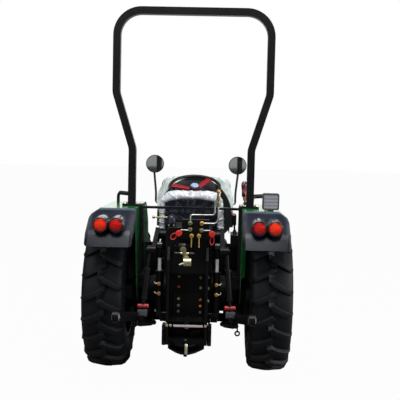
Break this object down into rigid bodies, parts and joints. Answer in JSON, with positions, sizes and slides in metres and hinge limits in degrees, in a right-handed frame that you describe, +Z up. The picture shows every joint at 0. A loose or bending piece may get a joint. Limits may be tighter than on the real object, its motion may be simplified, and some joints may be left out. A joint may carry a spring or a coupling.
{
  "type": "farm tractor",
  "caption": "Narrow four-wheel-drive open-station farm tractor with a roll bar, steered front axle, opening bonnet, rear three-point hitch, PTO shaft and drawbar",
  "frame": {"origin": "on the ground under the middle of the length and the width", "axes": "+Y points forward, +X to the tractor's right side, +Z up"},
  "size_m": [1.3602, 3.34, 2.45],
  "materials": {
    "black_casting": "semi-gloss black paint over castings",
    "black_paint": "gloss black powder coat",
    "green_paint": "gloss green paint",
    "rubber_tyre": "new matt rubber",
    "rim_paint": "dark grey enamel",
    "black_plastic": "grained black moulding",
    "lens_red": "fluted red lens",
    "lens_orange": "fluted orange lens",
    "lens_clear": "clear lamp lens",
    "cap_red": "soft red plastic",
    "zinc": "yellow and white zinc plate",
    "chrome": "hard chrome",
    "vinyl": "dark blue-black vinyl",
    "film": "thin clear wrapping film",
    "mirror": "convex mirror glass",
    "steel": "oiled bare steel",
    "rusty_steel": "heat-proof black paint"
  },
  "bodies": {
    "chassis": {"transmission_case": "black_casting", "rear_axle": "black_casting", "engine_block": "black_casting", "exhaust": "rusty_steel", "front_frame": "black_casting", "front_axle": "black_casting", "radiator": "black_paint", "dash_console": "black_plastic", "seat_base": "black_paint", "seat_cushion": "vinyl", "seat_back": "vinyl", "seat_film": "film", "rops_frame": "black_paint", "rops_posts": "black_paint", "rops_crossbar": "black_paint", "fenders": "green_paint", "fender_tails": "black_plastic", "tail_lamps": "lens_red", "indicator_lamps": "lens_orange", "work_lamp": "lens_clear", "fender_handles": "black_paint", "mirrors": "black_plastic", "mirror_glass": "mirror", "platform": "black_paint", "controls": "black_paint", "hitch_frame": "black_paint", "link_brackets": "black_paint", "drawbar": "black_paint", "remote_valves": "black_casting", "coupler_caps": "cap_red", "hydraulic_pipes": "zinc"},
    "rear_wheel_left": {"tyre_rear_left": "rubber_tyre", "rim_rear_left": "rim_paint"},
    "rear_wheel_right": {"tyre_rear_right": "rubber_tyre", "rim_rear_right": "rim_paint"},
    "knuckle_left": {"knuckle_left": "black_casting"},
    "knuckle_right": {"knuckle_right": "black_casting"},
    "front_wheel_left": {"tyre_front_left": "rubber_tyre", "rim_front_left": "rim_paint"},
    "front_wheel_right": {"tyre_front_right": "rubber_tyre", "rim_front_right": "rim_paint"},
    "steering_rod": {"steering_rod": "chrome"},
    "steering_wheel": {"steering_wheel": "black_plastic"},
    "hood": {"hood": "green_paint", "grille": "black_plastic", "headlamps": "lens_clear"},
    "rockshaft": {"rockshaft": "black_paint"},
    "lift_rod_left": {"lift_rod_left": "black_paint"},
    "lift_rod_right": {"lift_rod_right": "black_paint"},
    "lower_link_left": {"lower_link_left": "black_paint"},
    "lower_link_right": {"lower_link_right": "black_paint"},
    "lift_cylinder_left": {"lift_cylinder_left": "black_paint"},
    "lift_cylinder_right": {"lift_cylinder_right": "black_paint"},
    "lift_cylinder_rod_left": {"lift_cylinder_rod_left": "chrome"},
    "lift_cylinder_rod_right": {"lift_cylinder_rod_right": "chrome"},
    "top_link": {"top_link": "zinc"},
    "pto_shaft": {"pto_shaft": "steel"}
  },
  "joints": [
    {"name": "rear_left_spin", "type": "hinge", "parent": "chassis", "child": "rear_wheel_left", "pos_m": [-0.54, -0.77, 0.525], "axis": [1, 0, 0], "continuous": true},
    {"name": "steer_left", "type": "hinge", "parent": "chassis", "child": "knuckle_left", "pos_m": [-0.43, 1.03, 0.37], "axis": [0, 0, 1], "range_deg": [-35, 35]},
    {"name": "front_left_spin", "type": "hinge", "parent": "knuckle_left", "child": "front_wheel_left", "pos_m": [-0.54, 1.03, 0.37], "axis": [1, 0, 0], "continuous": true},
    {"name": "rear_right_spin", "type": "hinge", "parent": "chassis", "child": "rear_wheel_right", "pos_m": [0.54, -0.77, 0.525], "axis": [1, 0, 0], "continuous": true},
    {"name": "steer_right", "type": "hinge", "parent": "chassis", "child": "knuckle_right", "pos_m": [0.43, 1.03, 0.37], "axis": [0, 0, 1], "range_deg": [-35, 35]},
    {"name": "front_right_spin", "type": "hinge", "parent": "knuckle_right", "child": "front_wheel_right", "pos_m": [0.54, 1.03, 0.37], "axis": [1, 0, 0], "continuous": true},
    {"name": "steering_cylinder", "type": "slide", "parent": "chassis", "child": "steering_rod", "axis": [1, 0, 0], "range_m": [-0.101, 0.101]},
    {"name": "steering_wheel_turn", "type": "hinge", "parent": "chassis", "child": "steering_wheel", "pos_m": [0, -0.02, 1.217], "axis": [0, -0.3907, 0.9205], "range_deg": [-425, 425]},
    {"name": "hood_lift", "type": "hinge", "parent": "chassis", "child": "hood", "pos_m": [0, 0.396, 1.274], "axis": [1, 0, 0], "range_deg": [0, 50]},
    {"name": "hitch_lift", "type": "hinge", "parent": "chassis", "child": "rockshaft", "pos_m": [0, -0.89, 0.93], "axis": [-1, 0, 0], "range_deg": [-24, 30]},
    {"name": "lower_link_left_lift", "type": "hinge", "parent": "chassis", "child": "lower_link_left", "pos_m": [-0.215, -0.79, 0.35], "axis": [-1, 0, 0], "range_deg": [-15, 19]},
    {"name": "lift_rod_left_swing", "type": "hinge", "parent": "rockshaft", "child": "lift_rod_left", "pos_m": [-0.2465, -1.19, 0.865], "axis": [-1, 0, 0], "range_deg": [-39, 31]},
    {"name": "lift_cylinder_left_swing", "type": "hinge", "parent": "chassis", "child": "lift_cylinder_left", "pos_m": [-0.187, -1.07, 0.43], "axis": [-1, 0, 0], "range_deg": [-2, 2]},
    {"name": "lift_cylinder_left_stroke", "type": "slide", "parent": "lift_cylinder_left", "child": "lift_cylinder_rod_left", "axis": [0, -0.0659, 0.9978], "range_m": [-0.09, 0.11]},
    {"name": "lower_link_right_lift", "type": "hinge", "parent": "chassis", "child": "lower_link_right", "pos_m": [0.215, -0.79, 0.35], "axis": [-1, 0, 0], "range_deg": [-15, 19]},
    {"name": "lift_rod_right_swing", "type": "hinge", "parent": "rockshaft", "child": "lift_rod_right", "pos_m": [0.2465, -1.19, 0.865], "axis": [-1, 0, 0], "range_deg": [-39, 31]},
    {"name": "lift_cylinder_right_swing", "type": "hinge", "parent": "chassis", "child": "lift_cylinder_right", "pos_m": [0.187, -1.07, 0.43], "axis": [-1, 0, 0], "range_deg": [-2, 2]},
    {"name": "lift_cylinder_right_stroke", "type": "slide", "parent": "lift_cylinder_right", "child": "lift_cylinder_rod_right", "axis": [0, -0.0659, 0.9978], "range_m": [-0.09, 0.11]},
    {"name": "top_link_swing", "type": "hinge", "parent": "chassis", "child": "top_link", "pos_m": [-0.04, -1.14, 0.885], "axis": [-1, 0, 0], "range_deg": [-60, 35]},
    {"name": "pto_spin", "type": "hinge", "parent": "chassis", "child": "pto_shaft", "pos_m": [0, -1.07, 0.36], "axis": [0, 1, 0], "continuous": true}
  ],
  "couplings": [
    {"joint": "steer_right", "follows": "steer_left", "ratio": 1},
    {"joint": "steering_cylinder", "follows": "steer_left", "m_per_rad": 0.1645},
    {"joint": "steering_wheel_turn", "follows": "steer_left", "ratio": 12},
    {"joint": "lower_link_left_lift", "follows": "hitch_lift", "ratio": 0.6},
    {"joint": "lift_rod_left_swing", "follows": "hitch_lift", "ratio": -1.27},
    {"joint": "lift_cylinder_left_swing", "follows": "hitch_lift", "ratio": -0.04},
    {"joint": "lift_cylinder_left_stroke", "follows": "hitch_lift", "m_per_rad": 0.201},
    {"joint": "lower_link_right_lift", "follows": "hitch_lift", "ratio": 0.6},
    {"joint": "lift_rod_right_swing", "follows": "hitch_lift", "ratio": -1.27},
    {"joint": "lift_cylinder_right_swing", "follows": "hitch_lift", "ratio": -0.04},
    {"joint": "lift_cylinder_right_stroke", "follows": "hitch_lift", "m_per_rad": 0.201}
  ]
}
